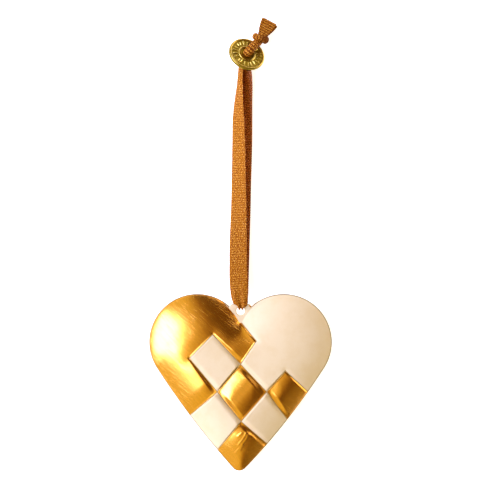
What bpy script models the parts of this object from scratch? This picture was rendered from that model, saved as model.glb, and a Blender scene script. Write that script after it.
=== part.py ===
"""A pressed-metal braided heart ornament on a ribbon loop, lying on its back.

Metres, +Z up. The origin is under the middle of the heart, on the surface that it lies on. +Y runs from the
heart's tip towards the ribbon, and the painted front faces +Z. The heart is two pressings with a seam between
them, the front one with the hanging lug. The ribbon is threaded through the lug, both its legs pass through a
dished brass disc, and an overhand knot above the disc holds them, with two cut tails.
"""

import functools
import math

import bmesh
import bpy
import numpy as np
from mathutils import Matrix, Quaternion, Vector
from mathutils.geometry import interpolate_bezier

# The heart's outline: two round lobes, each a little past the middle, two bowed sides and a tip that leans.
HEART_WIDTH = 0.062
HEART_HEIGHT = 0.060
LOBE_OVERLAP = 0.0016
LOBE_RADIUS = (HEART_WIDTH / 2 + LOBE_OVERLAP) / 2
TIP_RADIUS = 0.0028
TIP_LEAN = 0.00045
SIDE_BOW_DEG = 5.0

# The two pressings. The back one is shallower, and its crowns are pressed flat where they rest.
FRONT_DOME = 0.0055
BACK_DEPTH = 0.0046
BACK_FLATTENED = 0.0003
RIM_HEIGHT = 0.0005
SEAM_GAP = 0.0003
DOME_REACH = 0.0145
DOME_ROUNDNESS = 0.92
TIP_FLATTENED = 0.40
TIP_REACH = 0.0100

# The braid: where the strips' edges cross, as shares of the heart's width and height from its middle.
CROSSINGS = {
    (1, 0): (0.087, 0.237),
    (2, 0): (0.246, 0.068),
    (0, 1): (-0.151, 0.275),
    (1, 1): (0.000, 0.106),
    (2, 1): (0.143, -0.050),
    (0, 2): (-0.279, 0.140),
    (1, 2): (-0.126, -0.050),
    (2, 2): (0.003, -0.217),
}
# Where the strips' edges meet the outline, as shares of the heart's height from its middle.
RIGHT_SIDE_CROSSINGS = {0: -0.053, 1: -0.208, 2: -0.350}
LEFT_SIDE_CROSSINGS = {0: 0.005, 1: -0.187, 2: -0.382}
STRIPS = 3
FRONT_GROOVE = 0.0011
BACK_GROOVE = 0.0007
WALL_REACH = {"gold": 0.0019, "cream": 0.0006}
DIP_REACH = {"gold": 0.0055, "cream": 0.0020}
LOBE_CREASE = 0.35
TIP_CREASE = 0.40
MEETING_REACH = 0.0004
GROOVE_FADE = 0.0065
GROOVE_AT_RIM = 0.25

# The ribbon, and how narrow it is gathered at its two ends.
RIBBON_WIDTH = 0.0061
RIBBON_THICKNESS = 0.00035
RIBBON_IN_LUG = 0.0020
RIBBON_AT_DISC = 0.0020
RIBBON_STEP = 0.0026
TOUCH_GAP = 0.0003

# The hanging lug between the lobes, with a hole that clears the gathered ribbon.
LUG_CLEARANCE = 0.00045
LUG_WALL = 0.0016
LUG_TOP_WALL = 0.0013
LUG_CORNER = 0.0013
LUG_THICKNESS = 0.0009
LUG_HOLE_ABOVE_NOTCH = 0.0036
LUG_ROOT = 0.0009
LUG_LIFT = 0.0001

# The neck of gathered ribbon between the disc and the knot.
NECK_RADIUS = 0.0014
NECK_CLEARANCE = 0.0005
NECK_BELOW_DISC = 0.0016
NECK_RISE = 0.0036
NECK_FALL = 0.0020
NECK_FALL_DEG = 30.0

# The dished disc, its place on the ribbon and its lean.
DISC_RADIUS = 0.00635
DISC_THICKNESS = 0.0011
DISC_DISH_WIDTH = 0.0014
DISC_DISH_DEPTH = 0.0004
DISC_RIM_WIDTH = 0.0006
DISC_RIM_HEIGHT = 0.00025
DISC_X = 0.0021
DISC_Y = 0.1116
DISC_TILT_DEG = 38.0
DISC_LEAN_DEG = 57.5
FLOOR_GAP = 0.0001

# The knot, from the disc's middle, and the two tails.
KNOT_X = 0.0050
KNOT_Y = 0.0052
KNOT_AIM_DEG = 60.0
KNOT_RADIUS = 0.00165
KNOT_WRAP_RADIUS = 0.00085
KNOT_SLANT_DEG = 10.0
KNOT_LENGTH = 0.0024
TAIL_LENGTH = 0.0058
TAIL_START_WIDTH = 0.0030
TAIL_GATHER = 0.0004
TAIL_PARTING = 0.0012
TAIL_DROP_DEG = 15.0

# How finely the round shapes are stepped.
CELL_STEPS_FRONT = 9
CELL_STEPS_BACK = 7
LOBE_RINGS_FRONT = 7
LOBE_RINGS_BACK = 6
LOBE_ARC_STEPS = 30
OUTLINE_STEP = 0.0003
ROUND_STEPS = 32
NECK_STEPS = 8
CORNER_STEPS = 5
WELD = 0.000002

CREAM = ("cream_enamel", (0.93, 0.79, 0.62, 1.0), 0.0, 0.35)
GOLD = ("gold_paint", (0.80, 0.47, 0.10, 1.0), 1.0, 0.25)
RIBBON = ("ribbon_cloth", (0.62, 0.29, 0.06, 1.0), 0.0, 0.70)
BRASS = ("old_brass", (0.55, 0.42, 0.12, 1.0), 1.0, 0.30)


def material(name, colour, metallic, roughness):
    """A plain Principled material."""
    made = bpy.data.materials.get(name) or bpy.data.materials.new(name)
    made.use_nodes = True
    shader = made.node_tree.nodes["Principled BSDF"]
    shader.inputs["Base Color"].default_value = colour
    shader.inputs["Metallic"].default_value = metallic
    shader.inputs["Roughness"].default_value = roughness
    return made


def place_mesh(name, bm, collection):
    """Turns a bmesh into an object in a collection."""
    mesh = bpy.data.meshes.new(name)
    bm.to_mesh(mesh)
    bm.free()
    made = bpy.data.objects.new(name, mesh)
    collection.objects.link(made)
    return made


def finish(made, finishes, smooth_deg=35.0):
    """Gives an object its materials, and shades it smooth across angles under smooth_deg."""
    for look in finishes:
        made.data.materials.append(material(*look))
    made.data.shade_smooth()
    made.data.set_sharp_from_angle(angle=math.radians(smooth_deg))


def lobe_middle():
    """The middle of the left lobe's circle."""
    return np.array([LOBE_RADIUS - HEART_WIDTH / 2, HEART_HEIGHT / 2 - LOBE_RADIUS])


def notch():
    """The point between the lobes where their circles cross."""
    x, y = lobe_middle()
    return np.array([0.0, y + math.sqrt(LOBE_RADIUS**2 - x**2)])


def arc(centre, radius, start, end):
    """Points on an arc, about OUTLINE_STEP apart."""
    steps = max(4, math.ceil(abs(end - start) * radius / OUTLINE_STEP))
    turn = np.linspace(start, end, steps + 1)
    return np.array(centre) + radius * np.stack([np.cos(turn), np.sin(turn)], axis=1)


@functools.cache
def upright_half():
    """The outline's left half before the tip leans, from the notch round the lobe and down the side.

    The side is a quadratic curve. It leaves the lobe SIDE_BOW_DEG before the straight line that touches both
    circles would, and meets the tip's circle as much after."""
    lobe = lobe_middle()
    tip = np.array([0.0, TIP_RADIUS - HEART_HEIGHT / 2])
    between = lobe - tip
    touching = math.atan2(between[1], between[0]) + math.acos(
        (TIP_RADIUS - LOBE_RADIUS) / np.linalg.norm(between)
    )
    bow = math.radians(SIDE_BOW_DEG)
    to_notch = notch() - lobe
    round_lobe = arc(lobe, LOBE_RADIUS, math.atan2(to_notch[1], to_notch[0]), touching - bow)
    round_tip = arc(tip, TIP_RADIUS, touching + bow, 1.5 * math.pi)
    normals = [np.array([math.cos(touching + k * bow), math.sin(touching + k * bow)]) for k in (-1, 1)]
    ends = [round_lobe[-1], round_tip[0]]
    corner = np.linalg.solve(np.array(normals), [n @ e for n, e in zip(normals, ends)])
    steps = math.ceil(np.linalg.norm(ends[1] - ends[0]) / OUTLINE_STEP)
    t = np.linspace(0, 1, steps + 1)[1:-1, None]
    side = (1 - t) ** 2 * ends[0] + 2 * t * (1 - t) * corner + t**2 * ends[1]
    return np.concatenate([round_lobe, side, round_tip])


@functools.cache
def half_outline(side):
    """One half of the outline, from notch to tip. From the lobes down it leans to the left, by a cube."""
    points = upright_half() * [-1 if side == "right" else 1, 1]
    middle = lobe_middle()[1]
    share = np.clip((middle - points[:, 1]) / (middle + HEART_HEIGHT / 2), 0, 1)
    return points - np.stack([TIP_LEAN * share**3, np.zeros(len(points))], axis=1)


def run_lengths(line):
    """How far along a line each of its points is."""
    return np.concatenate([[0], np.cumsum(np.linalg.norm(np.diff(line, axis=0), axis=1))])


def read_line(line, shares):
    """Points at these shares of a line's length."""
    far = run_lengths(line)
    return np.stack([np.interp(np.array(shares) * far[-1], far, line[:, k]) for k in range(2)], axis=1)


def at_height(line, share):
    """The index of the outline's point below its widest, at this share of the heart's height."""
    widest = int(np.argmax(np.abs(line[:, 0])))
    return widest + int(np.argmin(np.abs(line[widest:, 1] - share * HEART_HEIGHT)))


def crossing(i, j):
    """Where the edge of gold strip j crosses the edge of cream strip i. Both count from the notch."""
    left = half_outline("left")
    if (i, j) in CROSSINGS:
        return np.array(CROSSINGS[i, j]) * [HEART_WIDTH, HEART_HEIGHT]
    if (i, j) == (0, 0):
        return left[0]
    if (i, j) == (STRIPS, STRIPS):
        return left[-1]
    if i == STRIPS:
        right = half_outline("right")
        return right[at_height(right, RIGHT_SIDE_CROSSINGS[j])]
    return left[at_height(left, LEFT_SIDE_CROSSINGS[i])]


def edge(start, end, shares):
    """Points at these shares between two crossings: along the outline if both are on it, or else straight."""
    a, b = crossing(*start), crossing(*end)
    if start[0] == end[0] == STRIPS:
        line = half_outline("right")
    elif start[1] == end[1] == STRIPS:
        line = half_outline("left")
    else:
        return a + np.outer(shares, b - a)
    first, last = (int(np.argmin(np.linalg.norm(line - point, axis=1))) for point in (a, b))
    return read_line(line[first : last + 1], shares)


def close_ended(steps):
    """Shares from 0 to 1 that are closer together at both ends."""
    return 0.5 - 0.5 * np.cos(np.linspace(0, math.pi, steps + 1))


def cell(i, j, steps):
    """The plan of the braid's square (i, j) as a grid, blended from its four edges (a Coons patch)."""
    shares = close_ended(steps)
    low, high = edge((i, j), (i + 1, j), shares), edge((i, j + 1), (i + 1, j + 1), shares)
    left, right = edge((i, j), (i, j + 1), shares), edge((i + 1, j), (i + 1, j + 1), shares)
    a, b = shares[:, None, None], shares[None, :, None]
    ruled = (1 - b) * low[:, None] + b * high[:, None] + (1 - a) * left[None] + a * right[None]
    corners = (1 - a) * ((1 - b) * low[0] + b * high[0]) + a * ((1 - b) * low[-1] + b * high[-1])
    return ruled - corners


def lobe(colour, steps, rings):
    """The plan of one lobe, as rings from its middle to its border: the braid's side, then the outline."""
    if colour == "gold":
        line = half_outline("left")
        ends = [((0, k), (0, k + 1)) for k in range(STRIPS)]
        last = at_height(line, LEFT_SIDE_CROSSINGS[0])
    else:
        line = half_outline("right")
        ends = [((k, 0), (k + 1, 0)) for k in range(STRIPS)]
        last = at_height(line, RIGHT_SIDE_CROSSINGS[0])
    braid_side = np.concatenate([edge(a, b, close_ended(steps))[:-1] for a, b in ends])
    round_side = read_line(line[: last + 1], np.linspace(1, 0, LOBE_ARC_STEPS + 1))
    border = np.concatenate([braid_side, round_side])
    middle = border.mean(axis=0)
    reach = np.sin(np.linspace(0, math.pi / 2, rings + 1))[:, None, None]
    return middle + reach * (border - middle)[None]


def soft_distance(points):
    """About how far points are from the outline, with no ridge down the middle.

    It is the outline's length over the fourth power of the distance, summed, to the power -1/3. Beside a long
    straight edge that is the distance itself."""
    line = np.concatenate([half_outline("left"), half_outline("right")[::-1][1:]])
    middles, lengths = (line[1:] + line[:-1]) / 2, np.linalg.norm(np.diff(line, axis=0), axis=1)
    squared = ((points[:, None] - middles[None]) ** 2).sum(axis=2) + (OUTLINE_STEP / 2) ** 2
    return (2 / math.pi * (lengths / squared**2).sum(axis=1)) ** (-1 / 3)


def creases():
    """The braid's edges: (start, end, the colour of the strip over it, how deep it is at both ends).

    A crease is shallow along a lobe, and grows from there to its full depth. The tip's is shallow too."""
    found = []
    for line in range(STRIPS):
        for k in range(STRIPS):
            depths = (1.0 if min(line, k) > 0 else LOBE_CREASE, 1.0 if line > 0 else LOBE_CREASE)
            under = (TIP_CREASE, TIP_CREASE) if line == k == STRIPS - 1 else depths
            if line > 0 or colour_of(line, k) == "cream":
                found.append((crossing(line, k), crossing(line, k + 1), "cream", under))
            if line > 0 or colour_of(k, line) == "gold":
                found.append((crossing(k, line), crossing(k + 1, line), "gold", depths))
    return found


def braid_height(points, colour):
    """1 on top of a strip, and down to 0 at the creases round it.

    A strip falls steeply at its own side edges, within WALL_REACH at full depth. Where it goes under the
    other colour it dips as a quarter of a sine, within DIP_REACH. On a crease both take the mean of both."""
    heights = {"gold": np.ones(len(points)), "cream": np.ones(len(points))}
    nearest = np.full(len(points), HEART_WIDTH)
    for start, end, over, depths in creases():
        run = end - start
        share = np.clip((points - start) @ run / (run @ run), 0, 1)
        away = np.linalg.norm(points - start - share[:, None] * run, axis=1)
        nearest = np.minimum(nearest, away)
        depth = depths[0] + (depths[1] - depths[0]) * share
        for strip in heights:
            if strip == over:
                near = np.clip(away / (WALL_REACH[strip] * depth), 0, 1)
                raised = near * near * (3 - 2 * near)
            else:
                raised = np.sin(math.pi / 2 * np.clip(away / DIP_REACH[strip], 0, 1))
            heights[strip] *= 1 - depth * (1 - raised)
    lean = 0.5 * np.clip(1 - nearest / MEETING_REACH, 0, 1)
    return (1 - 2 * lean) * heights[colour] + lean * (heights["gold"] + heights["cream"])


def doming(points):
    """How far points are up the dome, from 0 at the rim to 1, and flatter towards the tip."""
    from_tip = np.linalg.norm(points - crossing(STRIPS, STRIPS), axis=1) / TIP_REACH
    share = soft_distance(points) / DOME_REACH * (1 - TIP_FLATTENED * np.exp(-(from_tip**2)))
    return (1 - (1 - np.clip(share, 0, 1)) ** 2) ** DOME_ROUNDNESS


def surface_height(points, colour, dome, groove):
    """How high the pressed sheet stands over its seam."""
    fade = GROOVE_AT_RIM + (1 - GROOVE_AT_RIM) * np.clip(soft_distance(points) / GROOVE_FADE, 0, 1)
    cut = groove * (1 - braid_height(points, colour)) * fade
    return RIM_HEIGHT + np.maximum(dome * doming(points) - cut, 0)


def colour_of(i, j):
    """The strip on top in square (i, j)."""
    return "gold" if (i + j) % 2 == 0 else "cream"


def lay_grid(bm, points):
    """Adds a grid of faces, and moves its corners to these points, given by column and row."""
    columns, rows = points.shape[:2]
    made = bmesh.ops.create_grid(bm, x_segments=columns - 1, y_segments=rows - 1, size=1.0)
    for vert in made["verts"]:
        column = round((vert.co.x + 1) / 2 * (columns - 1))
        row = round((vert.co.y + 1) / 2 * (rows - 1))
        vert.co = points[column, row]


def pressing(name, dome, groove, steps, rings, deepest, facing, collection):
    """One half of the heart, solid behind its sheet, with its seam at height 0 and its dome to facing."""
    bm = bmesh.new()
    patches = [(cell(i, j, steps), colour_of(i, j)) for i in range(STRIPS) for j in range(STRIPS)]
    patches += [(lobe(colour, steps, rings), colour) for colour in ("gold", "cream")]
    for plan, colour in patches:
        flat = plan.reshape(-1, 2)
        high = np.minimum(surface_height(flat, colour, dome, groove), deepest)
        placed = np.concatenate([flat, facing * high[:, None]], axis=1)
        lay_grid(bm, placed.reshape(*plan.shape[:2], 3))
    bmesh.ops.remove_doubles(bm, verts=bm.verts[:], dist=WELD)
    rim = [e for e in bm.edges if e.is_boundary]
    for vert in {v for e in rim for v in e.verts}:
        vert.co.z = facing * RIM_HEIGHT
    skirt = bmesh.ops.extrude_edge_only(bm, edges=rim)["geom"]
    for vert in (g for g in skirt if isinstance(g, bmesh.types.BMVert)):
        vert.co.z = 0.0
    bmesh.ops.holes_fill(bm, edges=[e for e in bm.edges if e.is_boundary], sides=0)
    bmesh.ops.recalc_face_normals(bm, faces=bm.faces[:])
    made = place_mesh(name, bm, collection)
    finish(made, [CREAM])
    return made


def boolean(target, tool, operation):
    """Joins or cuts with the EXACT solver, and keeps the tool as a hidden helper."""
    modifier = target.modifiers.new(tool.name, "BOOLEAN")
    modifier.object = tool
    modifier.operation = operation
    modifier.solver = "EXACT"
    tool.hide_render = True
    tool.display_type = "WIRE"


def seam_height():
    """The height of the front pressing's seam face."""
    return BACK_DEPTH + SEAM_GAP


def lug_hole_radius():
    """The radius of the lug's hole."""
    return RIBBON_IN_LUG / 2 + LUG_CLEARANCE


def lug_levels():
    """The heights of the lug's two faces."""
    low = seam_height() + LUG_LIFT
    return low, low + LUG_THICKNESS


def lug_plate(tools):
    """The lug: a plate from below the notch to above the hole, with two rounded corners."""
    low, top = lug_levels()
    half = lug_hole_radius() + LUG_WALL
    bottom = notch()[1] - LUG_ROOT
    end = notch()[1] + LUG_HOLE_ABOVE_NOTCH + lug_hole_radius() + LUG_TOP_WALL
    size = Vector((2 * half, end - bottom, top - low))
    bm = bmesh.new()
    bmesh.ops.create_cube(bm, size=1.0, matrix=Matrix.Diagonal(size).to_4x4())
    corners = [e for e in bm.edges if all(v.co.y > 0 for v in e.verts) and e.verts[0].co.x == e.verts[1].co.x]
    corners = [e for e in corners if e.verts[0].co.z != e.verts[1].co.z]
    bmesh.ops.bevel(
        bm, geom=corners, offset=LUG_CORNER, segments=CORNER_STEPS, profile=0.5, affect="EDGES"
    )
    made = place_mesh("lug_plate", bm, tools)
    made.location = (0.0, (bottom + end) / 2, (low + top) / 2)
    return made


def lug_hole(tools):
    """The cutter for the lug's hole."""
    low, top = lug_levels()
    over = RIM_HEIGHT + FRONT_DOME
    bm = bmesh.new()
    bmesh.ops.create_cone(
        bm,
        cap_ends=True,
        segments=ROUND_STEPS,
        radius1=lug_hole_radius(),
        radius2=lug_hole_radius(),
        depth=top - low + 2 * over,
    )
    made = place_mesh("lug_hole", bm, tools)
    made.location = (0.0, notch()[1] + LUG_HOLE_ABOVE_NOTCH, (low + top) / 2)
    return made


def heart(parts, tools):
    """Both pressings, and the lug that the front one carries."""
    back_dome = BACK_DEPTH - RIM_HEIGHT + BACK_FLATTENED
    steps, rings = CELL_STEPS_BACK, LOBE_RINGS_BACK
    back = pressing("heart_back", back_dome, BACK_GROOVE, steps, rings, BACK_DEPTH, -1, parts)
    back.location.z = BACK_DEPTH
    steps, rings = CELL_STEPS_FRONT, LOBE_RINGS_FRONT
    front = pressing("heart_front", FRONT_DOME, FRONT_GROOVE, steps, rings, math.inf, 1, parts)
    front.data.materials.append(material(*GOLD))
    front.location.z = seam_height()
    boolean(front, lug_plate(tools), "UNION")
    boolean(front, lug_hole(tools), "DIFFERENCE")


def disc_axis():
    """The direction that the disc's face looks in."""
    tilt, lean = math.radians(DISC_TILT_DEG), math.radians(DISC_LEAN_DEG)
    return Vector((math.sin(tilt) * math.cos(lean), math.sin(tilt) * math.sin(lean), math.cos(tilt)))


def disc_centre():
    """The middle of the disc, whose lowest edge is just over the surface that the ornament lies on."""
    tilt = math.radians(DISC_TILT_DEG)
    height = DISC_RADIUS * math.sin(tilt) + DISC_THICKNESS / 2 * math.cos(tilt)
    return Vector((DISC_X, DISC_Y, height + FLOOR_GAP))


def disc(parts):
    """The dished disc: a profile turned round its axis, and then leaned over."""
    half, rim_inside = DISC_THICKNESS / 2, DISC_RADIUS - DISC_RIM_WIDTH
    field = half - DISC_RIM_HEIGHT
    dish = field - DISC_DISH_DEPTH
    hole = NECK_RADIUS + NECK_CLEARANCE
    chamfer = DISC_RIM_WIDTH / 4
    profile = [
        (hole, dish),
        (hole + DISC_DISH_WIDTH / 2, dish),
        (hole + DISC_DISH_WIDTH, field),
        (rim_inside - chamfer, field),
        (rim_inside + chamfer, half),
        (DISC_RADIUS - chamfer, half),
        (DISC_RADIUS, half - chamfer),
        (DISC_RADIUS, chamfer - half),
        (DISC_RADIUS - chamfer, -half),
        (hole, -half),
    ]
    count = len(profile)
    mesh = bpy.data.meshes.new("brass_disc")
    mesh.from_pydata([(r, 0, z) for r, z in profile], [(k, (k + 1) % count) for k in range(count)], [])
    made = bpy.data.objects.new("brass_disc", mesh)
    parts.objects.link(made)
    mesh.materials.append(material(*BRASS))
    turn = made.modifiers.new("turn", "SCREW")
    turn.steps = turn.render_steps = ROUND_STEPS
    turn.use_merge_vertices = True
    turn.merge_threshold = WELD
    turn.use_smooth_shade = False
    made.rotation_mode = "QUATERNION"
    made.rotation_quaternion = disc_axis().to_track_quat("Z", "Y")
    made.location = disc_centre()


def smooth_route(points, step):
    """A smooth curve through the route's points, read about every step.

    Each stretch is a Hermite cubic, whose slopes come from the points on both sides. The parameter grows with
    the square root of each chord, which keeps the curve from looping at close points."""
    points = np.array(points, float)
    knots = np.concatenate([[0], np.cumsum(np.linalg.norm(np.diff(points[:, :3], axis=0), axis=1) ** 0.5)])
    slopes = np.gradient(points, knots, axis=0)
    found = [points[:1]]
    for k in range(len(points) - 1):
        long = knots[k + 1] - knots[k]
        t = np.linspace(0, 1, max(2, round(long**2 / step)) + 1)[1:, None]
        found.append(
            (2 * t**3 - 3 * t**2 + 1) * points[k]
            + (t**3 - 2 * t**2 + t) * long * slopes[k]
            + (3 * t**2 - 2 * t**3) * points[k + 1]
            + (t**3 - t**2) * long * slopes[k + 1]
        )
    return np.concatenate(found)


def band(name, rows, across, columns, collection):
    """A ribbon: a strip laid along rows of (x, y, z, width), and thickened evenly on both sides."""
    shares = np.linspace(-1, 1, columns + 1)[:, None, None]
    bm = bmesh.new()
    lay_grid(bm, rows[None, :, :3] + shares * (rows[:, 3, None] / 2 * across)[None])
    made = place_mesh(name, bm, collection)
    finish(made, [RIBBON], smooth_deg=60.0)
    solid = made.modifiers.new("thickness", "SOLIDIFY")
    solid.thickness = RIBBON_THICKNESS
    solid.offset = 0.0


def ribbon_route():
    """The ribbon's route: (x, y, z, width, twist in degrees), from the disc down the front leg, through the lug
    and up the back leg. Its two ends stop short of the neck, one over the other."""
    end = disc_centre() - disc_axis() * (NECK_BELOW_DISC + 3 * TOUCH_GAP)
    over_end = Vector((0.0, 0.0, (RIBBON_THICKNESS + TOUCH_GAP) / 2))
    hole = notch()[1] + LUG_HOLE_ABOVE_NOTCH + lug_hole_radius() / 2
    low, top = lug_levels()
    over, under = top + 2 * TOUCH_GAP, low - 2 * TOUCH_GAP
    wrap = lug_hole_radius()
    full, narrow = RIBBON_WIDTH, RIBBON_IN_LUG
    return [
        (*(end + over_end), RIBBON_AT_DISC, 20.0),
        (0.0002, 0.1078, 0.0026, 0.0032, 70.0),
        (-0.0001, 0.1053, 0.0027, 0.0046, 77.0),
        (-0.0004, 0.1012, 0.0032, 0.0058, 71.0),
        (-0.0006, 0.0958, 0.0031, full, 62.0),
        (-0.0007, 0.0890, 0.0029, full, 50.0),
        (-0.0006, 0.0788, 0.0027, full, 43.0),
        (-0.0006, 0.0686, 0.0026, full, 38.0),
        (-0.0006, 0.0584, 0.0027, full, 30.0),
        (-0.0008, 0.0482, 0.0033, full, 19.0),
        (-0.0008, 0.0407, 0.0042, full, 13.0),
        (-0.0007, 0.0340, 0.0053, full, 9.0),
        (-0.0003, 0.0290, over + TOUCH_GAP, 0.0056, 4.0),
        (0.0002, hole + wrap, over, 0.0044, 0.0),
        (0.0001, hole + TOUCH_GAP, over - TOUCH_GAP, narrow, 0.0),
        (0.0001, hole, (over + under) / 2, narrow, 0.0),
        (0.0001, hole + TOUCH_GAP, under + TOUCH_GAP, narrow, 0.0),
        (0.0000, hole + wrap, under, 0.0044, 0.0),
        (-0.0002, 0.0290, under - 2 * TOUCH_GAP, 0.0056, 0.0),
        (-0.0003, 0.0340, 0.0026, full, 0.0),
        (-0.0001, 0.0407, 0.0013, full, 0.0),
        (0.0001, 0.0482, 0.0008, full, 0.0),
        (0.0004, 0.0584, 0.0005, full, 0.0),
        (0.0006, 0.0686, 0.0005, full, 0.0),
        (0.0009, 0.0788, 0.0005, full, 0.0),
        (0.0011, 0.0890, 0.0006, 0.0059, -2.0),
        (0.0015, 0.0958, 0.0009, 0.0052, -8.0),
        (0.0019, 0.1012, 0.0013, 0.0049, -20.0),
        (0.0021, 0.1053, 0.0017, 0.0042, -25.0),
        (0.0019, 0.1078, 0.0019, 0.0032, -22.0),
        (*(end - over_end), RIBBON_AT_DISC, -20.0),
    ]


def ribbon(parts):
    """The loop of ribbon. Its width lies level, square to its run, and is turned about it by the twist."""
    rows = smooth_route(ribbon_route(), RIBBON_STEP)
    run = np.gradient(rows[:, :3], axis=0)
    run /= np.linalg.norm(run, axis=1)[:, None]
    level = np.array([1.0, 0.0, 0.0]) - run * run[:, :1]
    level /= np.linalg.norm(level, axis=1)[:, None]
    twist = np.radians(rows[:, 4, None])
    across = np.cos(twist) * level + np.sin(twist) * np.cross(run, level)
    band("ribbon_loop", rows[:, :4], across, 2, parts)


def round_bar(name, points, radius, collection):
    """A round bar through points: a curve with a bevel and filled caps, made a closed mesh."""
    curve = bpy.data.curves.new(name, "CURVE")
    curve.dimensions = "3D"
    curve.bevel_depth = radius
    curve.bevel_resolution = 3
    curve.use_fill_caps = True
    spline = curve.splines.new("POLY")
    spline.points.add(len(points) - 1)
    for point, place in zip(spline.points, points):
        point.co = (*place, 1.0)
    source = bpy.data.objects.new(name, curve)
    collection.objects.link(source)
    graph = bpy.context.evaluated_depsgraph_get()
    mesh = bpy.data.meshes.new_from_object(source.evaluated_get(graph))
    bpy.data.objects.remove(source)
    bm = bmesh.new()
    bm.from_mesh(mesh)
    bmesh.ops.remove_doubles(bm, verts=bm.verts[:], dist=WELD)
    bmesh.ops.recalc_face_normals(bm, faces=bm.faces[:])
    bpy.data.meshes.remove(mesh)
    made = place_mesh(name, bm, collection)
    finish(made, [RIBBON], smooth_deg=60.0)
    return made


def knot_frame():
    """The knot's middle, resting on the surface, and the level direction in which the tails leave it."""
    middle = disc_centre() + Vector((KNOT_X, KNOT_Y, 0.0))
    middle.z = KNOT_RADIUS + KNOT_WRAP_RADIUS + FLOOR_GAP
    aim = math.radians(KNOT_AIM_DEG)
    return middle, Vector((math.cos(aim), math.sin(aim), 0.0))


def knot(parts, tools):
    """The neck, which arches through the disc's hole to the knot: a bundle in one turn of ribbon."""
    middle, out = knot_frame()
    axis, centre = disc_axis(), disc_centre()
    near, far = middle - out * (KNOT_LENGTH / 4), middle + out * (KNOT_LENGTH / 2)
    fall = math.radians(NECK_FALL_DEG)
    before_near = near + (Vector((0.0, 0.0, math.sin(fall))) - out * math.cos(fall)) * NECK_FALL
    arch = interpolate_bezier(centre, centre + axis * NECK_RISE, before_near, near, NECK_STEPS)
    path = [centre - axis * NECK_BELOW_DISC, *arch, far]
    bundle = round_bar("ribbon_knot", path, NECK_RADIUS, parts)
    bpy.ops.mesh.primitive_torus_add(
        major_radius=KNOT_RADIUS,
        minor_radius=KNOT_WRAP_RADIUS,
        major_segments=20,
        minor_segments=10,
        location=middle,
    )
    wrap = bpy.context.object
    wrap.name = "knot_wrap"
    for holder in list(wrap.users_collection):
        holder.objects.unlink(wrap)
    tools.objects.link(wrap)
    wrap.rotation_mode = "QUATERNION"
    slant = Quaternion((0.0, 0.0, 1.0), math.radians(KNOT_SLANT_DEG))
    wrap.rotation_quaternion = slant @ out.to_track_quat("Z", "Y")
    boolean(bundle, wrap, "UNION")


def tails(parts):
    """The ribbon's two cut ends, one over the other, spreading to the ribbon's full width."""
    middle, out = knot_frame()
    drop = math.radians(TAIL_DROP_DEG)
    start = middle + out * (KNOT_LENGTH / 2 + TOUCH_GAP)
    run = (out * math.cos(drop) - Vector((0.0, 0.0, math.sin(drop)))) * TAIL_LENGTH
    sideways = np.array(out.cross(Vector((0.0, 0.0, 1.0))))
    end_width = RIBBON_WIDTH - TAIL_GATHER
    for name, side in (("ribbon_tail_upper", 0.5), ("ribbon_tail_lower", -0.5)):
        rows = []
        for share in np.linspace(0, 1, 6):
            place = start + run * share + Vector((0.0, 0.0, side * TAIL_PARTING))
            spread = math.sin(share * math.pi / 2)
            rows.append((*place, TAIL_START_WIDTH + (end_width - TAIL_START_WIDTH) * spread))
        band(name, np.array(rows), np.tile(sideways, (len(rows), 1)), 4, parts)


def main():
    for obj in list(bpy.data.objects):
        bpy.data.objects.remove(obj)
    parts = bpy.data.collections.new("braided_heart_ornament")
    tools = bpy.data.collections.new("cutters")
    for made in (parts, tools):
        bpy.context.scene.collection.children.link(made)
    heart(parts, tools)
    disc(parts)
    ribbon(parts)
    knot(parts, tools)
    tails(parts)


main()
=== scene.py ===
import functools
import math

import bmesh
import bpy
import numpy as np
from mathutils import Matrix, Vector
from mathutils.geometry import interpolate_bezier


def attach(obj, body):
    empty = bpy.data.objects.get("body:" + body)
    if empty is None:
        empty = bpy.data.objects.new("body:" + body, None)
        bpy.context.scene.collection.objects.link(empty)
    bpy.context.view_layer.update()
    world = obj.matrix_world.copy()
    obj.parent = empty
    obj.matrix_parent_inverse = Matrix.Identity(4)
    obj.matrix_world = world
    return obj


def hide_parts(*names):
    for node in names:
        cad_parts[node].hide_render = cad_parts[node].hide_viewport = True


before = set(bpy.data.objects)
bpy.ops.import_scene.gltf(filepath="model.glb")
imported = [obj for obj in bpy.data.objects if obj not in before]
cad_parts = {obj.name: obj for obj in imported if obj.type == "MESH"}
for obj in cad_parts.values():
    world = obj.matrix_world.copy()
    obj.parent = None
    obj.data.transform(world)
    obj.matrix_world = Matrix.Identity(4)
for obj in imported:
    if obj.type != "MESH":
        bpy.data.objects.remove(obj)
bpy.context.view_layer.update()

# The view. The ornament lies on its back and the camera looks straight down on it from far off, as square
# to its front as the photo. One pixel of the photo is 0.34 mm.
PIXEL = 0.00034
PIXELS_ACROSS = 480
VIEW_MIDDLE = Vector((-0.00017, 0.0484, 0.005))
VIEW_DISTANCE = 1.0

camera = bpy.data.objects.new("camera", bpy.data.cameras.new("camera"))
bpy.context.scene.collection.objects.link(camera)
camera.location = VIEW_MIDDLE + Vector((0.0, 0.0, VIEW_DISTANCE))
camera.data.lens = camera.data.sensor_width * VIEW_DISTANCE / (PIXELS_ACROSS * PIXEL)
bpy.context.scene.camera = camera

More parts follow.
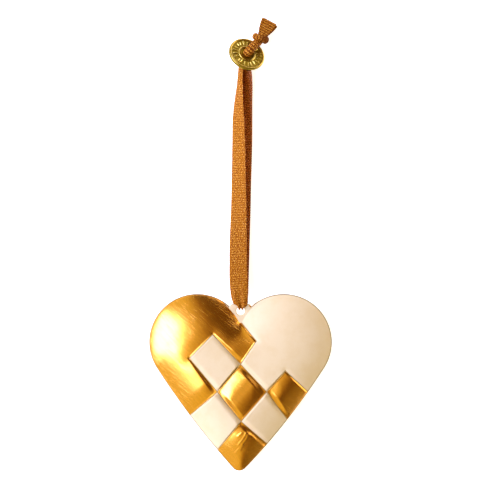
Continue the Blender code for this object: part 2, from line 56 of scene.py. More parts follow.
# The back pressing: thin sheet steel, pressed as a shallow puffed heart with a braid of three by three
# strips, painted in gold and cream like the front. It ends in a rolled seam, and is flat where it rests.
MM = 0.001
HEART_WIDTH = 0.062
HEART_HEIGHT = 0.060
LOBE_OVERLAP = 0.0016
LOBE_RADIUS = (HEART_WIDTH / 2 + LOBE_OVERLAP) / 2
TIP_RADIUS = 0.0028
TIP_LEAN = 0.00045
SIDE_BOW_DEG = 5.0
CROSSINGS = {
    (1, 0): (0.087, 0.237),
    (2, 0): (0.246, 0.068),
    (0, 1): (-0.151, 0.275),
    (1, 1): (0.000, 0.106),
    (2, 1): (0.143, -0.050),
    (0, 2): (-0.279, 0.140),
    (1, 2): (-0.126, -0.050),
    (2, 2): (0.003, -0.217),
}
RIGHT_SIDE_CROSSINGS = {0: -0.053, 1: -0.208, 2: -0.350}
LEFT_SIDE_CROSSINGS = {0: 0.005, 1: -0.187, 2: -0.382}
STRIPS = 3
WALL_REACH = {"gold": 0.0019, "cream": 0.0006}
DIP_REACH = {"gold": 0.0055, "cream": 0.0020}
LOBE_CREASE = 0.35
TIP_CREASE = 0.40
MEETING_REACH = 0.0004
GROOVE_FADE = 0.0065
GROOVE_AT_RIM = 0.25
DOME_REACH = 0.0145
DOME_ROUNDNESS = 0.92
TIP_FLATTENED = 0.40
TIP_REACH = 0.0100
RIM_HEIGHT = 0.0005
BACK_DEPTH = 0.0046
BACK_FLATTENED = 0.0003
BACK_GROOVE = 0.0007
OUTLINE_STEP = 0.0003
LOBE_ARC_STEPS = 150
WELD = 0.000002
BEAD = [(0.02, 0.44), (0.05, 0.38), (0.07, 0.26), (0.06, 0.12), (0.03, 0.03), (-0.05, 0.0)]
NOTCH_CLEAR = 0.0010
CLOSING_Y = 0.005
LUG_WEB_START = (-0.0051, 0.0264)
QUIET_AT_RIM = 0.002
QUIET_AT_CREASE = 0.001
NO_CREASE = 0.005


def lobe_middle():
    """The middle of the left lobe's circle."""
    return np.array([LOBE_RADIUS - HEART_WIDTH / 2, HEART_HEIGHT / 2 - LOBE_RADIUS])


def notch():
    """The point between the lobes where their circles cross."""
    x, y = lobe_middle()
    return np.array([0.0, y + math.sqrt(LOBE_RADIUS**2 - x**2)])


def arc(centre, radius, start, end):
    """Points on an arc, about OUTLINE_STEP apart."""
    steps = max(4, math.ceil(abs(end - start) * radius / OUTLINE_STEP))
    turn = np.linspace(start, end, steps + 1)
    return np.array(centre) + radius * np.stack([np.cos(turn), np.sin(turn)], axis=1)


@functools.cache
def upright_half():
    """The outline's left half before the tip leans, from the notch round the lobe and down to the tip.

    The side is a quadratic curve. It leaves the lobe SIDE_BOW_DEG before the straight line that touches
    both circles would, and meets the tip's circle as much after."""
    lobe = lobe_middle()
    tip = np.array([0.0, TIP_RADIUS - HEART_HEIGHT / 2])
    between = lobe - tip
    touching = math.atan2(between[1], between[0]) + math.acos(
        (TIP_RADIUS - LOBE_RADIUS) / np.linalg.norm(between)
    )
    bow = math.radians(SIDE_BOW_DEG)
    to_notch = notch() - lobe
    round_lobe = arc(lobe, LOBE_RADIUS, math.atan2(to_notch[1], to_notch[0]), touching - bow)
    round_tip = arc(tip, TIP_RADIUS, touching + bow, 1.5 * math.pi)
    normals = [np.array([math.cos(touching + k * bow), math.sin(touching + k * bow)]) for k in (-1, 1)]
    ends = [round_lobe[-1], round_tip[0]]
    corner = np.linalg.solve(np.array(normals), [n @ e for n, e in zip(normals, ends)])
    steps = math.ceil(np.linalg.norm(ends[1] - ends[0]) / OUTLINE_STEP)
    t = np.linspace(0, 1, steps + 1)[1:-1, None]
    side = (1 - t) ** 2 * ends[0] + 2 * t * (1 - t) * corner + t**2 * ends[1]
    return np.concatenate([round_lobe, side, round_tip])


@functools.cache
def half_outline(side):
    """One half of the outline, from notch to tip. The tip leans left, by a cube from the lobes down."""
    points = upright_half() * [-1 if side == "right" else 1, 1]
    middle = lobe_middle()[1]
    share = np.clip((middle - points[:, 1]) / (middle + HEART_HEIGHT / 2), 0, 1)
    return points - np.stack([TIP_LEAN * share**3, np.zeros(len(points))], axis=1)


def chords(line):
    """The lengths between a line's points."""
    return np.linalg.norm(np.diff(line, axis=0), axis=1)


def read_line(line, shares):
    """Points at these shares of a line's length."""
    far = np.concatenate([[0], np.cumsum(chords(line))])
    return np.stack([np.interp(np.array(shares) * far[-1], far, line[:, k]) for k in range(2)], axis=1)


def at_height(line, share):
    """The index of the outline's point below its widest, at this share of the heart's height."""
    widest = int(np.argmax(np.abs(line[:, 0])))
    return widest + int(np.argmin(np.abs(line[widest:, 1] - share * HEART_HEIGHT)))


def crossing(i, j):
    """Where the edge of gold strip j crosses the edge of cream strip i. Both count from the notch."""
    left = half_outline("left")
    if (i, j) in CROSSINGS:
        return np.array(CROSSINGS[i, j]) * [HEART_WIDTH, HEART_HEIGHT]
    if (i, j) == (0, 0):
        return left[0]
    if (i, j) == (STRIPS, STRIPS):
        return left[-1]
    if i == STRIPS:
        right = half_outline("right")
        return right[at_height(right, RIGHT_SIDE_CROSSINGS[j])]
    return left[at_height(left, LEFT_SIDE_CROSSINGS[i])]


def edge(start, end, shares):
    """Points at these shares from crossing to crossing, along the outline where both are on it."""
    a, b = crossing(*start), crossing(*end)
    if start[0] == end[0] == STRIPS:
        line = half_outline("right")
    elif start[1] == end[1] == STRIPS:
        line = half_outline("left")
    else:
        return a + np.outer(shares, b - a)
    first, last = (int(np.argmin(np.linalg.norm(line - point, axis=1))) for point in (a, b))
    return read_line(line[first : last + 1], shares)


def close_ended(steps):
    """Shares from 0 to 1 that are closer together at both ends: half of one minus a cosine."""
    return 0.5 - 0.5 * np.cos(np.linspace(0, math.pi, steps + 1))


def square_plan(i, j, steps):
    """The plan of the braid's square (i, j) as a grid, blended from its four edges (a Coons patch)."""
    shares = close_ended(steps)
    low, high = edge((i, j), (i + 1, j), shares), edge((i, j + 1), (i + 1, j + 1), shares)
    left, right = edge((i, j), (i, j + 1), shares), edge((i + 1, j), (i + 1, j + 1), shares)
    a, b = shares[:, None, None], shares[None, :, None]
    ruled = (1 - b) * low[:, None] + b * high[:, None] + (1 - a) * left[None] + a * right[None]
    corners = (1 - a) * ((1 - b) * low[0] + b * high[0]) + a * ((1 - b) * low[-1] + b * high[-1])
    return ruled - corners


def lobe_arc(colour):
    """The round part of one lobe's border, from the notch to the braid."""
    if colour == "gold":
        line, share = half_outline("left"), LEFT_SIDE_CROSSINGS[0]
    else:
        line, share = half_outline("right"), RIGHT_SIDE_CROSSINGS[0]
    return read_line(line[: at_height(line, share) + 1], np.linspace(0, 1, LOBE_ARC_STEPS + 1))


def lobe_plan(colour, steps, rings):
    """The plan of one lobe: rings from its middle to its border, closer together towards it."""
    ends = [((0, k), (0, k + 1)) if colour == "gold" else ((k, 0), (k + 1, 0)) for k in range(STRIPS)]
    braid_side = np.concatenate([edge(a, b, close_ended(steps))[:-1] for a, b in ends])
    border = np.concatenate([braid_side, lobe_arc(colour)[::-1]])
    middle = border.mean(axis=0)
    reach = np.sin(np.linspace(0, math.pi / 2, rings + 1))[:, None, None]
    return middle + reach * (border - middle)[None]


def soft_distance(points):
    """About how far points are from the outline, with no ridge down the middle: the outline's length over
    the fourth power of the distance, summed, to the power -1/3. What that leaves on the outline is taken
    off."""
    line = np.concatenate([half_outline("left"), half_outline("right")[::-1][1:]])
    middles, lengths = (line[1:] + line[:-1]) / 2, chords(line)

    def raw(some):
        squared = ((some[:, None] - middles[None]) ** 2).sum(axis=2) + (OUTLINE_STEP / 2) ** 2
        return (2 / math.pi * (lengths / squared**2).sum(axis=1)) ** (-1 / 3)

    found = np.concatenate([raw(part) for part in np.array_split(points, 1 + len(points) // 4000)])
    on_outline = np.median(raw(line[::8]))
    return np.sqrt(np.maximum(found**2 - on_outline**2, 0))


def doming(points, inside):
    """How far points are up the dome, from 0 at the rim to 1, and flatter towards the tip: one less the
    square of what the distance from the rim still lacks of the whole reach, to a power under 1."""
    from_tip = np.linalg.norm(points - crossing(STRIPS, STRIPS), axis=1) / TIP_REACH
    share = inside / DOME_REACH * (1 - TIP_FLATTENED * np.exp(-(from_tip**2)))
    return (1 - (1 - np.clip(share, 0, 1)) ** 2) ** DOME_ROUNDNESS


def colour_of(i, j):
    """The strip on top in square (i, j)."""
    return "gold" if (i + j) % 2 == 0 else "cream"


@functools.cache
def creases():
    """The braid's edges: (start, end, which strip is on top, how deep the crease is at both ends).

    A crease is shallow along a lobe, and grows from there to its full depth. The tip's is shallow too."""
    found = []
    for line in range(STRIPS):
        for k in range(STRIPS):
            depths = (1.0 if min(line, k) > 0 else LOBE_CREASE, 1.0 if line > 0 else LOBE_CREASE)
            under = (TIP_CREASE, TIP_CREASE) if line == k == STRIPS - 1 else depths
            if line > 0 or colour_of(line, k) == "cream":
                found.append((crossing(line, k), crossing(line, k + 1), "cream", under))
            if line > 0 or colour_of(k, line) == "gold":
                found.append((crossing(k, line), crossing(k + 1, line), "gold", depths))
    return found


def on_segment(points, start, end):
    """How far points are from a straight piece of line, and at which share of it."""
    run = end - start
    share = np.clip((points - start) @ run / (run @ run), 0, 1)
    return np.linalg.norm(points - start - share[:, None] * run, axis=1), share


def braid(points, colour):
    """For each point, 1 on top of a strip and down to 0 in a crease, and how far the nearest crease is.

    A strip falls steeply at its own side edges, within WALL_REACH at full depth. Where it goes under the
    other colour it dips gently, as a quarter of a sine within DIP_REACH. On a crease both take the mean."""
    heights = {"gold": np.ones(len(points)), "cream": np.ones(len(points))}
    nearest = np.full(len(points), HEART_WIDTH)
    for start, end, over, depths in creases():
        away, share = on_segment(points, start, end)
        nearest = np.minimum(nearest, away)
        depth = depths[0] + (depths[1] - depths[0]) * share
        for strip in heights:
            if strip == over:
                near = np.clip(away / (WALL_REACH[strip] * depth), 0, 1)
                raised = near * near * (3 - 2 * near)
            else:
                raised = np.sin(math.pi / 2 * np.clip(away / DIP_REACH[strip], 0, 1))
            heights[strip] *= 1 - depth * (1 - raised)
    lean = 0.5 * np.clip(1 - nearest / MEETING_REACH, 0, 1)
    return (1 - 2 * lean) * heights[colour] + lean * (heights["gold"] + heights["cream"]), nearest


def unit(vectors):
    """The same directions with a length of one."""
    return vectors / np.linalg.norm(vectors, axis=-1, keepdims=True)


def wobble(points, length, depth):
    """The slight unevenness of hand-held sheet: five crossed sine waves, each about this long."""
    total = np.zeros(len(points))
    for k in range(5):
        turn = 1.3 + 2.4 * k
        wave = points @ [math.cos(turn), math.sin(turn)] / (length * (1 + 0.23 * k))
        total += np.sin(2 * math.pi * wave + 1.7 * k)
    return depth * total / 5


def gold_inside(points, colour, nearest):
    """How far points are inside the gold paint, less than 0 in the cream. The gold lobe is also cut off by
    the straight line along which the cream web of the lug meets it."""
    if colour == "cream":
        return -nearest
    run = unit(notch() - LUG_WEB_START)
    inside_web = (points - LUG_WEB_START) @ [run[1], -run[0]]
    return np.minimum(nearest, np.where(points[:, 1] > notch()[1], inside_web, HEART_WIDTH))


def grid_faces(columns, rows, first=0):
    """The four-cornered faces between neighbouring points of a grid that is stored column by column."""
    corner = first + (np.arange(columns - 1)[:, None] * rows + np.arange(rows - 1)[None]).ravel()
    return np.stack([corner, corner + rows, corner + rows + 1, corner + 1], axis=1)


def join_grids(grids):
    """Several grids of points as one list of points and one of faces."""
    faces, first = [], 0
    for grid in grids:
        faces.append(grid_faces(grid.shape[0], grid.shape[1], first))
        first += grid.shape[0] * grid.shape[1]
    return np.concatenate([grid.reshape(-1, 3) for grid in grids]), np.concatenate(faces)


def make_piece(name, points, faces, numbers, look):
    """An object from whole arrays, with numbers for each point under their names. Equal points are merged
    and faces turned outwards. It rides on the one body, and takes its material and slot."""
    mesh = bpy.data.meshes.new(name)
    mesh.vertices.add(len(points))
    mesh.vertices.foreach_set("co", np.ascontiguousarray(points, np.float32).ravel())
    mesh.loops.add(faces.size)
    mesh.loops.foreach_set("vertex_index", np.ascontiguousarray(faces, np.int32).ravel())
    mesh.polygons.add(len(faces))
    mesh.polygons.foreach_set("loop_start", np.arange(0, faces.size, faces.shape[1], dtype=np.int32))
    mesh.update(calc_edges=True)
    for label, values in numbers.items():
        layer = mesh.attributes.new(label, "FLOAT", "POINT")
        layer.data.foreach_set("value", np.ascontiguousarray(values, np.float32).ravel())
    bm = bmesh.new()
    bm.from_mesh(mesh)
    bmesh.ops.remove_doubles(bm, verts=bm.verts[:], dist=WELD)
    bmesh.ops.recalc_face_normals(bm, faces=bm.faces[:])
    bm.to_mesh(mesh)
    bm.free()
    mesh.shade_smooth()
    mesh.materials.append(look)
    made = bpy.data.objects.new(name, mesh)
    bpy.context.scene.collection.objects.link(made)
    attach(made, "root")
    return made


def whole_border(steps):
    """The heart's border from the notch by the left to the notch again, through the patches' points, as
    (x, y, how far inside the gold). Each side is a lobe and then its strips' ends."""
    shares = close_ended(steps)
    down, up = [("gold", lobe_arc("gold"))], [("cream", lobe_arc("cream"))]
    for k in range(STRIPS):
        down.append((colour_of(k, STRIPS - 1), edge((k, STRIPS), (k + 1, STRIPS), shares)[1:]))
        up.append((colour_of(STRIPS - 1, k), edge((STRIPS, k), (STRIPS, k + 1), shares)[1:]))
    left, right = (
        np.concatenate([np.column_stack([p, gold_inside(p, c, braid(p, c)[1])]) for c, p in parts])
        for parts in (down, up)
    )
    return np.concatenate([left, right[::-1][1:]])


def rolled_rim(border, profile, seam, facing):
    """The rim's profile carried round the border, and a last ring on one point, which closes the piece
    behind. At the notch, where the border turns back on itself, the profile doesn't spread."""
    along = unit(np.gradient(border, axis=0))
    out = np.stack([along[:, 1], -along[:, 0]], axis=1)
    out *= np.clip(np.linalg.norm(border - notch(), axis=1) / NOTCH_CLEAR, 0, 1)[:, None]
    rings = [
        np.column_stack([border - off * MM * out, np.full(len(border), seam + facing * up * MM)])
        for off, up in profile
    ]
    return np.stack([*rings, np.tile([0.0, CLOSING_Y, seam], (len(border), 1))])


def pressing(name, dome, groove, steps, rings, deepest, facing, seam, relief, look):
    """One half of the heart: the braid's squares and the two lobes as height over the seam, and the rolled
    rim with its closing face. Relief adds fine height, which is quiet near the rim and the creases."""
    grids, gold, crease, rim = [], [], [], []
    patches = [(square_plan(i, j, steps), colour_of(i, j)) for i in range(STRIPS) for j in range(STRIPS)]
    patches += [(lobe_plan(colour, steps, rings), colour) for colour in ("gold", "cream")]
    for plan, colour in patches:
        flat = plan.reshape(-1, 2)
        inside = soft_distance(flat)
        height, nearest = braid(flat, colour)
        domed = dome * doming(flat, inside)
        fade = GROOVE_AT_RIM + (1 - GROOVE_AT_RIM) * np.clip(inside / GROOVE_FADE, 0, 1)
        high = RIM_HEIGHT + np.maximum(domed - groove * (1 - height) * fade, 0)
        quiet = np.clip(inside / QUIET_AT_RIM, 0, 1) * np.clip(nearest / QUIET_AT_CREASE, 0, 1)
        high = np.minimum(high + quiet * relief(flat, colour), deepest)
        high = np.where(inside < 2 * WELD, RIM_HEIGHT, high)
        grids.append(np.column_stack([flat, seam + facing * high]).reshape(*plan.shape[:2], 3))
        gold.append(gold_inside(flat, colour, nearest))
        crease.append(nearest)
        rim.append(inside)
    profile = [(0.0, RIM_HEIGHT / MM), *BEAD]
    border = whole_border(steps)
    bead = rolled_rim(border[:, :2], profile, seam, facing)
    grids.append(bead)
    gold.append(np.tile(border[:, 2], len(bead)))
    crease.append(np.full(bead.shape[0] * bead.shape[1], NO_CREASE))
    rim.append(np.repeat([-off * MM for off, _ in profile] + [0.0], bead.shape[1]))
    points, faces = join_grids(grids)
    numbers = {
        "gold_mm": np.concatenate(gold) / MM,
        "crease_mm": np.concatenate(crease) / MM,
        "rim_mm": np.concatenate(rim) / MM,
    }
    return make_piece(name, points, faces, numbers, look)


def plug(tree, socket, value):
    """Links a socket to what a Shade gives, or sets it to a plain value."""
    if isinstance(value, Shade):
        tree.links.new(value.socket, socket)
    else:
        socket.default_value = value


class Shade:
    """One output in a material's nodes. Sums on it, such as 1 - mask, add the Math nodes they need."""

    def __init__(self, tree, socket=None):
        self.tree, self.socket = tree, socket

    def add(self, kind, settings=None, inputs=None, out=0):
        """Adds a node, sets it up, gives its sockets values or links, and returns one of its outputs."""
        made = self.tree.nodes.new("ShaderNode" + kind)
        for label, value in (settings or {}).items():
            setattr(made, label, value)
        for label, value in (inputs or {}).items():
            plug(self.tree, made.inputs[label], value)
        return Shade(self.tree, made.outputs[out])

    def sum_of(self, operation, *values):
        return self.add("Math", {"operation": operation}, dict(enumerate(values)))

    def __add__(self, other):
        return self.sum_of("ADD", self, other)

    def __sub__(self, other):
        return self.sum_of("SUBTRACT", self, other)

    def __rsub__(self, other):
        return self.sum_of("SUBTRACT", other, self)

    def __mul__(self, other):
        return self.sum_of("MULTIPLY", self, other)

    def __truediv__(self, other):
        return self.sum_of("DIVIDE", self, other)

    __radd__, __rmul__ = __add__, __mul__

    def at_most(self, other):
        return self.sum_of("MINIMUM", self, other)

    def at_least(self, other):
        return self.sum_of("MAXIMUM", self, other)

    def step(self, low, high):
        """0 below low and 1 above high, with a smooth rise between them."""
        ends = {"From Min": low, "From Max": high}
        return self.add("MapRange", {"interpolation_type": "SMOOTHSTEP"}, {"Value": self, **ends})

    def mix(self, low, high):
        """A colour that goes from low to high as this goes from 0 to 1."""
        return self.add("Mix", {"data_type": "RGBA"}, {0: self, 6: low, 7: high}, 2)

    def number(self, label):
        """The number that the mesh carries under this name."""
        return self.add("Attribute", {"attribute_name": label}, out="Fac")

    def grain(self, size, turn_deg=0.0, detail=3.0, rough=0.6):
        """Soft noise with grains of this size along X, Y and Z, in metres, turned about Z."""
        place = self.add("TexCoord", out="Object")
        ready = {"Vector": place, "Rotation": (0.0, 0.0, math.radians(turn_deg)), "Scale": size}
        turned = self.add("Mapping", {"vector_type": "TEXTURE"}, ready)
        noise = {"Vector": turned, "Scale": 1.0, "Detail": detail, "Roughness": rough}
        return self.add("TexNoise", inputs=noise)

    def bump(self):
        """The normal of a surface that stands up by this height, in metres."""
        return self.add("Bump", inputs={"Strength": 1.0, "Distance": 1.0, "Height": self})


def new_look(name):
    """A material with its Principled shader, and its nodes to build on."""
    made = bpy.data.materials.new(name)
    made.use_nodes = True
    return made, made.node_tree.nodes["Principled BSDF"], Shade(made.node_tree)


def feed(shader, **values):
    """Links or sets a shader's sockets, given by name with _ for each space."""
    for label, value in values.items():
        plug(shader.id_data, shader.inputs[label.replace("_", " ")], value)


GOLD = (0.93, 0.47, 0.10, 1.0)
GOLD_WORN = (0.66, 0.30, 0.035, 1.0)
CREAM = (0.705, 0.56, 0.335, 1.0)
CREAM_WARM = (0.685, 0.53, 0.30, 1.0)
# The dark of the creases is grime and painted shade; at the rim it is grime.
GRIME_AND_SHADE = (0.15, 0.09, 0.02, 1.0)
STRIP_TURN_DEG = -46.7
PAINT_RAGGED = 0.30
BRUSH_STROKE = (9 * MM, 0.28 * MM, 4 * MM)
SCRATCH = (6 * MM, 0.16 * MM, 2 * MM)
SCRATCH_TURN_DEG = -38.7
CREAM_ROUGHNESS = 0.45
GOLD_ROUGHNESS = 0.18


def painted_look(name, brushing):
    """Gold leaf paint and cream enamel on pressed sheet. The mesh says how far a point is inside the gold,
    from a crease and from the rim. The paint's edge is ragged. The creases are darkened with grime and
    painted shade, and the rim's seam holds grime."""
    made, shader, nodes = new_look(name)
    ragged = nodes.grain((0.7 * MM,) * 3)
    gold = (nodes.number("gold_mm") + (ragged - 0.5) * PAINT_RAGGED).step(-0.10, 0.04)
    strokes = nodes.grain(BRUSH_STROKE, STRIP_TURN_DEG)
    cloud = nodes.grain((5 * MM,) * 3)
    scratches = nodes.grain(SCRATCH, SCRATCH_TURN_DEG, detail=1.0).step(0.60, 0.72)
    in_crease = 1 - nodes.number("crease_mm").step(0.02, 0.30)
    at_rim = 1 - nodes.number("rim_mm").step(0.05, 0.32)
    # Creases darken with grime and painted shade, the rim with grime, and less metal shows there.
    grime_and_shade = (in_crease * 0.75 * (0.55 + cloud * 0.6)).at_least(at_rim * (0.70 + cloud * 0.5)).at_most(1.0)
    gold_colour = (strokes.step(0.35, 0.75) * 0.35 * brushing).mix(GOLD, GOLD_WORN)
    cream_colour = cloud.step(0.35, 0.7).mix(CREAM, CREAM_WARM)
    smoother = strokes * 0.12 * brushing - (CREAM_ROUGHNESS - GOLD_ROUGHNESS)
    brushed = (strokes * 0.006 * MM + scratches * 0.010 * MM) * gold * brushing
    feed(
        shader,
        Base_Color=grime_and_shade.mix(gold.mix(cream_colour, gold_colour), GRIME_AND_SHADE),
        Metallic=gold * (1 - grime_and_shade * 0.7),
        Roughness=CREAM_ROUGHNESS + gold * smoother + grime_and_shade * 0.2,
        Specular_IOR_Level=0.2,
        Normal=(brushed + cloud * 0.004 * MM).bump(),
    )
    return made


def back_relief(points, colour):
    """The back is left as pressed, and both colours have the same slight unevenness."""
    return wobble(points, 0.013, 0.00003)


back = pressing(
    "heart_back_pressing",
    BACK_DEPTH - RIM_HEIGHT + BACK_FLATTENED,
    BACK_GROOVE,
    steps=40,
    rings=22,
    deepest=BACK_DEPTH,
    facing=-1,
    seam=BACK_DEPTH,
    relief=back_relief,
    look=painted_look("painted_back", 0.5),
)
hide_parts("heart_back")

# The front pressing: the same thin sheet pressed deeper, so that each strip stands up and dips under the
# next. Its gold is brushed on along the gold strips, and the lowest gold square at the tip is crumpled.
FRONT_DOME = 0.0055
FRONT_GROOVE = 0.0011
SEAM_GAP = 0.0003
CRUMPLES = [
    [(1.97, -16.6), (1.6, -17.8), (0.37, -19.6), (-0.82, -21.2)],
    [(2.58, -17.4), (1.97, -19.1), (0.75, -20.6), (-0.58, -22.4), (-1.56, -23.7)],
    [(0.37, -16.95), (-0.82, -18.0)],
    [(0.88, -21.3), (-0.2, -22.9)],
]
CRUMPLE_HEIGHT = 0.00011
CRUMPLE_WIDTH = 0.00030


def front_relief(points, colour):
    """Unevenness, and on the crumpled square a bell-shaped ridge along each crumple."""
    height = wobble(points, 0.011, 0.00005 if colour == "gold" else 0.00002)
    if colour == "gold":
        for ridge in CRUMPLES:
            ends = np.array(ridge) * MM
            away = np.min([on_segment(points, a, b)[0] for a, b in zip(ends, ends[1:])], axis=0)
            height += CRUMPLE_HEIGHT * np.exp(-((away / CRUMPLE_WIDTH) ** 2))
    return height


front = pressing(
    "heart_front_pressing",
    FRONT_DOME,
    FRONT_GROOVE,
    steps=70,
    rings=40,
    deepest=math.inf,
    facing=1,
    seam=BACK_DEPTH + SEAM_GAP,
    relief=front_relief,
    look=painted_look("painted_front", 1.0),
)
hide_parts("heart_front")

# The lug: a tab of the front sheet that fills the notch between the lobes, with a rounded top and a hole
# for the ribbon. It is enamelled cream with the front, and worn to old gold at its right corner.
RIBBON_IN_LUG = 0.0020
LUG_CLEARANCE = 0.00045
LUG_HOLE_ABOVE_NOTCH = 0.0036
LUG_THICKNESS = 0.0009
LUG_LIFT = 0.0001
LUG_UNDERSIDE = BACK_DEPTH + SEAM_GAP + LUG_LIFT
LUG_OUTLINE = [
    (-2.6, 26.8), (-3.7, 26.1), (-4.1, 25.0), (-3.4, 22.6), (-1.2, 19.9), (1.2, 19.9), (3.4, 22.6),
    (4.2, 24.6), (3.7, 26.0), (2.6, 26.95),
]
LUG_STEPS = 160
LUG_EDGE = 0.00022
LUG_WORN_AT = (0.0029, 0.0256)
LUG_WORN_REACH = 0.0012
LUG_DARKER_FROM = 0.0262


def lug_hole_radius():
    """The radius of the lug's hole, which clears the gathered ribbon."""
    return RIBBON_IN_LUG / 2 + LUG_CLEARANCE


def round_corners(points, rounds):
    """A closed outline with its corners cut off at a quarter, again and again (Chaikin's rule)."""
    for _ in range(rounds):
        after = np.roll(points, -1, axis=0)
        pairs = [0.75 * points + 0.25 * after, 0.25 * points + 0.75 * after]
        points = np.stack(pairs, axis=1).reshape(-1, 2)
    return points


def by_angle(outline, centre, turns):
    """The outline's points at these angles round a centre that sees all of it."""
    seen = outline - centre
    angle, far = np.arctan2(seen[:, 1], seen[:, 0]), np.linalg.norm(seen, axis=1)
    reach = np.interp(turns, angle[np.argsort(angle)], far[np.argsort(angle)], period=2 * math.pi)
    return centre + reach[:, None] * np.stack([np.cos(turns), np.sin(turns)], axis=1)


def lug():
    """A plate as one closed grid: a rounded profile from the hole over the top, down and back below."""
    centre = np.array([0.0, notch()[1] + LUG_HOLE_ABOVE_NOTCH])
    turns = np.linspace(0, 2 * math.pi, LUG_STEPS + 1)
    outer = by_angle(round_corners(np.array(LUG_OUTLINE) * MM, 4), centre, turns)
    hole = centre + lug_hole_radius() * np.stack([np.cos(turns), np.sin(turns)], axis=1)
    out = unit(outer - centre)
    rings = []
    bend = np.linspace(0, math.pi / 2, 5)
    for side, off in ((1, LUG_THICKNESS - LUG_EDGE), (-1, LUG_EDGE)):
        level = LUG_UNDERSIDE + off
        inner, rim = (
            [(line + way * LUG_EDGE * (1 - np.cos(b)), level + side * LUG_EDGE * np.sin(b)) for b in bend]
            for line, way in ((hole, out), (outer, -out))
        )
        rings += (inner + rim[::-1]) if side == 1 else (rim + inner[::-1])
    rings.append(rings[0])
    grid = [np.column_stack([plan, np.full(len(plan), level)]) for plan, level in rings]
    points, faces = join_grids([np.stack(grid)])
    worn = (LUG_WORN_REACH - np.linalg.norm(points[:, :2] - LUG_WORN_AT, axis=1)) / MM
    numbers = {
        "gold_mm": np.clip(worn, -1, 1) - 0.5,
        "crease_mm": np.full(len(points), NO_CREASE / MM),
        # The lug is darker along its top, above LUG_DARKER_FROM.
        "rim_mm": np.where(points[:, 1] > LUG_DARKER_FROM, 0.16, 2.0),
    }
    look = painted_look("painted_lug", 0.4)
    make_piece("hanging_lug", points, faces, numbers, look)


lug()

# The ribbon: one length of fine ribbed ribbon, rust brown, gathered through the lug's hole and led up again
# behind itself. Its ribs run across it, its edges are toothed, and it folds where it is gathered.
RIBBON_WIDTH = 0.0061
RIBBON_THICKNESS = 0.00035
RIBBON_AT_DISC = 0.0020
TOUCH_GAP = 0.0003
RIB_PITCH = 0.00084
RIB_DEPTH = 0.00010
RIB_SAMPLES = 8
TOOTH = 0.00007
ACROSS_STEPS = 16
LOOP_FOLD = 0.00042
DISC_RADIUS = 0.00635
DISC_THICKNESS = 0.0011
DISC_X = 0.0021
DISC_Y = 0.1116
DISC_TILT_DEG = 38.0
DISC_LEAN_DEG = 57.5
FLOOR_GAP = 0.0001
NECK_BELOW_DISC = 0.0016


def disc_axis():
    """The direction that the disc's face looks in."""
    tilt, lean = math.radians(DISC_TILT_DEG), math.radians(DISC_LEAN_DEG)
    return np.array([math.sin(tilt) * math.cos(lean), math.sin(tilt) * math.sin(lean), math.cos(tilt)])


def disc_centre():
    """The middle of the disc, whose lowest edge is just over the surface that the ornament lies on."""
    tilt = math.radians(DISC_TILT_DEG)
    height = DISC_RADIUS * math.sin(tilt) + DISC_THICKNESS / 2 * math.cos(tilt)
    return np.array([DISC_X, DISC_Y, height + FLOOR_GAP])


def smooth_route(points, step):
    """A smooth curve through the route's points, read about every step.

    Each stretch is a Hermite cubic with slopes from the points on both sides. The parameter grows with the
    square root of each chord, which keeps the curve from looping at close points."""
    points = np.array(points, float)
    knots = np.concatenate([[0], np.cumsum(chords(points[:, :3]) ** 0.5)])
    slopes = np.gradient(points, knots, axis=0)
    found = [points[:1]]
    for k in range(len(points) - 1):
        long = knots[k + 1] - knots[k]
        t = np.linspace(0, 1, max(2, round(long**2 / step)) + 1)[1:, None]
        found.append(
            (2 * t**3 - 3 * t**2 + 1) * points[k]
            + (t**3 - 2 * t**2 + t) * long * slopes[k]
            + (3 * t**2 - 2 * t**3) * points[k + 1]
            + (t**3 - t**2) * long * slopes[k + 1]
        )
    return np.concatenate(found)


def even_rows(rows, step):
    """The same rows read again at even steps along the line."""
    far = np.concatenate([[0], np.cumsum(chords(rows[:, :3]))])
    read = np.linspace(0, far[-1], round(far[-1] / step) + 1)
    return np.stack([np.interp(read, far, rows[:, k]) for k in range(rows.shape[1])], axis=1), read


